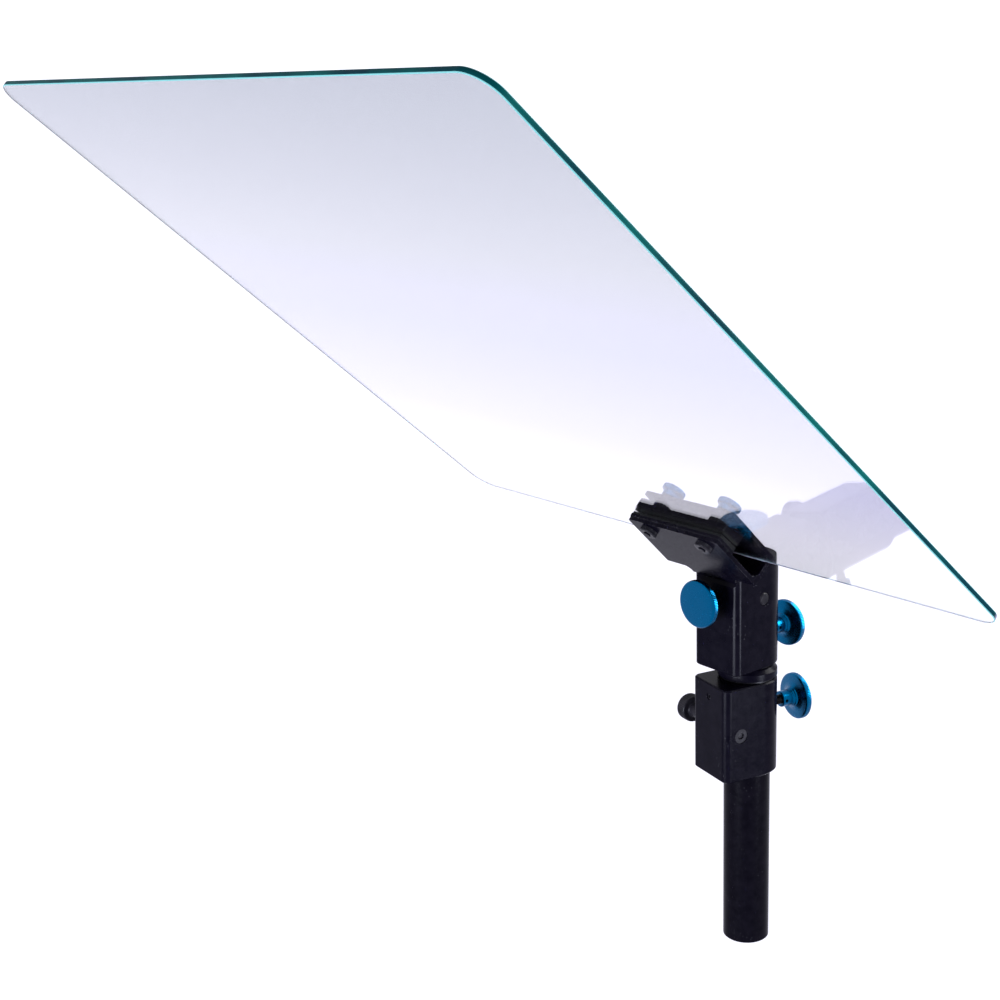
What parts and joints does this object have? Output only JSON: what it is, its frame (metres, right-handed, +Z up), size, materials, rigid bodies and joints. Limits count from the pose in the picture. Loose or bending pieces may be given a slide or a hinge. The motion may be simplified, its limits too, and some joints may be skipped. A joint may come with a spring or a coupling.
{
  "type": "teleprompter",
  "caption": "Conference teleprompter head: tilted beam-splitter glass in a screw clamp on a tilt and pan block at the top of a round pole.",
  "frame": {"origin": "centre of the pole's lower end", "axes": "+Z up the pole, +X along the glass's lower edge, -Y towards the speaker"},
  "size_m": [0.415, 0.3938, 0.5407],
  "materials": {
    "beam_splitter_glass": "polished, part-silvered",
    "black_anodised": "satin black anodised",
    "black_pole": "satin black powder coat",
    "blue_anodised": "blue anodised, knurled rim",
    "zinc_steel": "zinc plated",
    "black_oxide_steel": "black oxide",
    "black_rubber": "matt",
    "nylon": "natural nylon",
    "black_nylon": "black nylon"
  },
  "bodies": {
    "pole": {"pole_tube": "black_pole", "pole_bushing": "black_nylon", "lower_block": "black_anodised", "anti_lift_screw": "black_oxide_steel", "cotter_barrel_left": "black_oxide_steel", "cotter_barrel_right": "black_oxide_steel", "lower_thrust_washer": "black_nylon"},
    "spigot": {"spigot": "black_anodised", "upper_thrust_washer": "black_nylon"},
    "upper_block": {"upper_block": "black_anodised", "pivot_bolt": "black_oxide_steel"},
    "head": {"tilt_tongue": "black_anodised", "tilt_washer_left": "black_nylon", "tilt_washer_right": "black_nylon", "tongue_screws": "black_oxide_steel", "clamp_channel": "black_anodised", "clamp_thread_bushes": "zinc_steel", "lower_jaw": "black_anodised", "lower_jaw_pad": "black_rubber", "lower_jaw_nuts": "black_oxide_steel", "glass_pane": "beam_splitter_glass"},
    "upper_jaw": {"upper_jaw": "black_anodised", "upper_jaw_pad": "black_rubber"},
    "clamp_screw_left": {"clamp_stud_left": "zinc_steel", "clamp_knob_left": "blue_anodised"},
    "clamp_screw_right": {"clamp_stud_right": "zinc_steel", "clamp_knob_right": "blue_anodised"},
    "tilt_lock_tip": {"tilt_tip": "nylon"},
    "tilt_lock": {"tilt_knob": "blue_anodised", "tilt_stud": "zinc_steel"},
    "pan_lock_tip": {"pan_tip": "nylon"},
    "pan_lock": {"pan_knob": "blue_anodised", "pan_stud": "zinc_steel"},
    "spigot_lock_tip": {"spigot_tip": "nylon"},
    "spigot_lock": {"spigot_knob": "blue_anodised", "spigot_stud": "zinc_steel"},
    "cotter_washer": {"cotter_washer": "black_oxide_steel"},
    "cotter_screw": {"cotter_screw": "black_oxide_steel"}
  },
  "joints": [
    {"name": "spigot_swivel", "type": "hinge", "parent": "pole", "child": "spigot", "pos_m": [0, 0, 0.18], "axis": [0, 0, 1], "continuous": true},
    {"name": "pan", "type": "hinge", "parent": "spigot", "child": "upper_block", "pos_m": [0, 0, 0.19], "axis": [0, 0, 1], "continuous": true},
    {"name": "tilt", "type": "hinge", "parent": "upper_block", "child": "head", "pos_m": [0, -0.005, 0.229], "axis": [1, 0, 0], "range_deg": [-45, 0]},
    {"name": "clamp_travel", "type": "slide", "parent": "head", "child": "upper_jaw", "axis": [0, 0.7071, 0.7071], "range_m": [0, 0.0025]},
    {"name": "clamp_screw_left_turn", "type": "hinge", "parent": "upper_jaw", "child": "clamp_screw_left", "pos_m": [-0.0225, -0.0429, 0.29094], "axis": [0, 0.7071, 0.7071], "range_deg": [0, 900]},
    {"name": "clamp_screw_right_turn", "type": "hinge", "parent": "upper_jaw", "child": "clamp_screw_right", "pos_m": [0.0225, -0.0429, 0.29094], "axis": [0, 0.7071, 0.7071], "range_deg": [0, 900]},
    {"name": "tilt_lock_travel", "type": "slide", "parent": "upper_block", "child": "tilt_lock_tip", "axis": [0, -1, 0], "range_m": [0, 0.002]},
    {"name": "tilt_lock_turn", "type": "hinge", "parent": "tilt_lock_tip", "child": "tilt_lock", "pos_m": [0, -0.0282, 0.23], "axis": [0, -1, 0], "range_deg": [0, 720]},
    {"name": "pan_lock_travel", "type": "slide", "parent": "upper_block", "child": "pan_lock_tip", "axis": [0, 1, 0], "range_m": [0, 0.002]},
    {"name": "pan_lock_turn", "type": "hinge", "parent": "pan_lock_tip", "child": "pan_lock", "pos_m": [0, 0.0181, 0.2007], "axis": [0, 1, 0], "range_deg": [0, 720]},
    {"name": "spigot_lock_travel", "type": "slide", "parent": "pole", "child": "spigot_lock_tip", "axis": [0.2045, 0.9789, 0], "range_m": [0, 0.002]},
    {"name": "spigot_lock_turn", "type": "hinge", "parent": "spigot_lock_tip", "child": "spigot_lock", "pos_m": [0.0037, 0.01772, 0.1539], "axis": [0.2045, 0.9789, 0], "range_deg": [0, 720]},
    {"name": "cotter_travel", "type": "slide", "parent": "pole", "child": "cotter_washer", "axis": [-0.9789, 0.2045, 0], "range_m": [0, 0.0021]},
    {"name": "cotter_turn", "type": "hinge", "parent": "cotter_washer", "child": "cotter_screw", "pos_m": [-0.02111, -0.01255, 0.1443], "axis": [-0.9789, 0.2045, 0], "range_deg": [0, 1080]}
  ],
  "couplings": [
    {"joint": "clamp_screw_left_turn", "follows": "clamp_travel", "rad_per_m": 6283},
    {"joint": "clamp_screw_right_turn", "follows": "clamp_travel", "rad_per_m": 6283},
    {"joint": "tilt_lock_turn", "follows": "tilt_lock_travel", "rad_per_m": 6283},
    {"joint": "pan_lock_turn", "follows": "pan_lock_travel", "rad_per_m": 6283},
    {"joint": "spigot_lock_turn", "follows": "spigot_lock_travel", "rad_per_m": 6283},
    {"joint": "cotter_turn", "follows": "cotter_travel", "rad_per_m": 8975.9}
  ]
}
